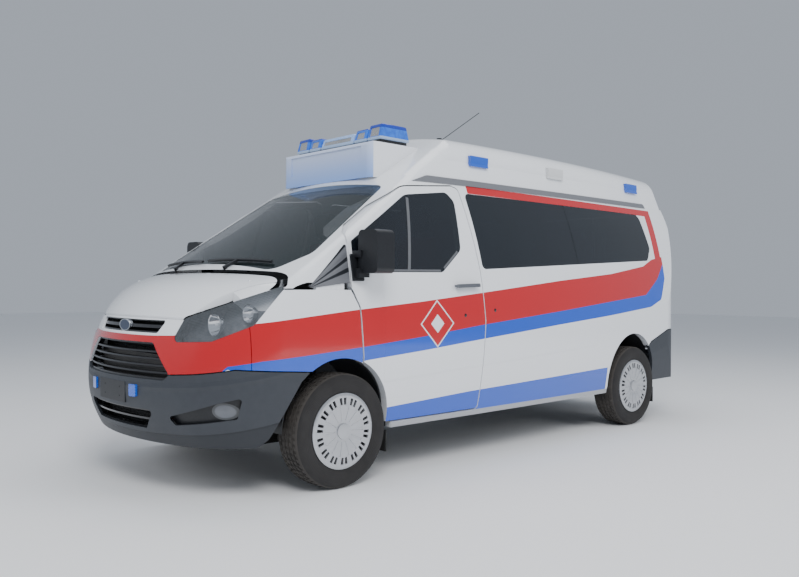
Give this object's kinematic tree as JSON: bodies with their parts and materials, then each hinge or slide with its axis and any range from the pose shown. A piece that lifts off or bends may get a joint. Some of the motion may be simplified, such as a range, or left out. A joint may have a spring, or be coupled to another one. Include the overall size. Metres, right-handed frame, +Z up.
{
  "type": "high-roof panel van ambulance",
  "caption": "White high-roof ambulance van on road wheels with opening doors and bonnet, steered front wheels, roof sign and blue lamps.",
  "frame": {"origin": "on the ground under the middle of the length, on the centre line", "axes": "+X towards the front, +Y to the left side, +Z up"},
  "size_m": [5.2843, 2.272, 2.5905],
  "materials": {
    "white_paint": "clean gloss white",
    "window_glass": "tinted clear",
    "dark_plastic": "grained dark grey",
    "clear_lens": "clear lens",
    "red_lens": "red lens",
    "blue_lens": "blue lens",
    "black_steel": "satin black",
    "cast_metal": "as cast",
    "flap_rubber": "matt",
    "floor_covering": "grained",
    "cabin_plastic": "grained",
    "seat_cloth": "woven",
    "tyre_rubber": "matt",
    "silver_wheel": "satin silver"
  },
  "bodies": {
    "body": {"antenna": "dark_plastic", "arch_liners": "dark_plastic", "cab_floor": "floor_covering", "chassis": "black_steel", "cowl": "white_paint", "dashboard": "cabin_plastic", "engine": "cast_metal", "fog_lamps": "clear_lens", "front_bumper": "dark_plastic", "front_suspension": "black_steel", "grilles": "dark_plastic", "header": "white_paint", "headlamps": "clear_lens", "hinge_posts": "black_steel", "light_bar": "blue_lens", "load_floor": "floor_covering", "mud_flaps": "flap_rubber", "nose_panel": "white_paint", "plate_bracket": "dark_plastic", "raised_roof": "white_paint", "rear_bumper": "dark_plastic", "rear_header": "white_paint", "rear_suspension": "black_steel", "roof_lamps": "blue_lens", "roof_sign_box": "white_paint", "seats": "seat_cloth", "side_glass": "window_glass", "side_left": "white_paint", "side_right": "white_paint", "side_trims": "dark_plastic", "sliding_door": "white_paint", "steering_wheel": "cabin_plastic", "strobes": "blue_lens", "tail_lamps": "red_lens", "windscreen": "window_glass", "wings": "white_paint", "wipers": "dark_plastic"},
    "bonnet": {"bonnet": "white_paint"},
    "front_door_left": {"door_front_left": "white_paint", "door_glass_left": "window_glass", "door_fittings_left": "dark_plastic"},
    "front_door_right": {"door_front_right": "white_paint", "door_glass_right": "window_glass", "door_fittings_right": "dark_plastic"},
    "rear_door_left": {"rear_door_left": "white_paint", "rear_glass_left": "window_glass"},
    "rear_door_right": {"rear_door_right": "white_paint", "rear_glass_right": "window_glass"},
    "knuckle_left": {"knuckle_left": "black_steel"},
    "knuckle_right": {"knuckle_right": "black_steel"},
    "wheel_front_left": {"wheel_front_left": "silver_wheel", "tyre_front_left": "tyre_rubber"},
    "wheel_front_right": {"wheel_front_right": "silver_wheel", "tyre_front_right": "tyre_rubber"},
    "wheel_rear_left": {"wheel_rear_left": "silver_wheel", "tyre_rear_left": "tyre_rubber"},
    "wheel_rear_right": {"wheel_rear_right": "silver_wheel", "tyre_rear_right": "tyre_rubber"}
  },
  "joints": [
    {"name": "bonnet_hinge", "type": "hinge", "parent": "body", "child": "bonnet", "pos_m": [1.8975, 0, 1.23], "axis": [0, -1, 0], "range_deg": [0, 50]},
    {"name": "front_door_left_hinge", "type": "hinge", "parent": "body", "child": "front_door_left", "pos_m": [1.6075, 0.922, 0.985], "axis": [0, 0, -1], "range_deg": [0, 65]},
    {"name": "rear_door_left_hinge", "type": "hinge", "parent": "body", "child": "rear_door_left", "pos_m": [-2.5465, 0.8, 1.11], "axis": [0, 0, -1], "range_deg": [0, 180]},
    {"name": "steering_left", "type": "hinge", "parent": "body", "child": "knuckle_left", "pos_m": [1.6475, 0.868, 0.343], "axis": [0, 0, 1], "range_deg": [-35, 35]},
    {"name": "wheel_front_left_spin", "type": "hinge", "parent": "knuckle_left", "child": "wheel_front_left", "pos_m": [1.6475, 0.868, 0.343], "axis": [0, 1, 0], "continuous": true},
    {"name": "wheel_rear_left_spin", "type": "hinge", "parent": "body", "child": "wheel_rear_left", "pos_m": [-1.6525, 0.86, 0.343], "axis": [0, 1, 0], "continuous": true},
    {"name": "front_door_right_hinge", "type": "hinge", "parent": "body", "child": "front_door_right", "pos_m": [1.6075, -0.922, 0.985], "axis": [0, 0, 1], "range_deg": [0, 65]},
    {"name": "rear_door_right_hinge", "type": "hinge", "parent": "body", "child": "rear_door_right", "pos_m": [-2.5465, -0.8, 1.11], "axis": [0, 0, 1], "range_deg": [0, 180]},
    {"name": "steering_right", "type": "hinge", "parent": "body", "child": "knuckle_right", "pos_m": [1.6475, -0.868, 0.343], "axis": [0, 0, 1], "range_deg": [-35, 35]},
    {"name": "wheel_front_right_spin", "type": "hinge", "parent": "knuckle_right", "child": "wheel_front_right", "pos_m": [1.6475, -0.868, 0.343], "axis": [0, 1, 0], "continuous": true},
    {"name": "wheel_rear_right_spin", "type": "hinge", "parent": "body", "child": "wheel_rear_right", "pos_m": [-1.6525, -0.86, 0.343], "axis": [0, 1, 0], "continuous": true}
  ],
  "couplings": [
    {"joint": "steering_right", "follows": "steering_left", "ratio": 1}
  ]
}
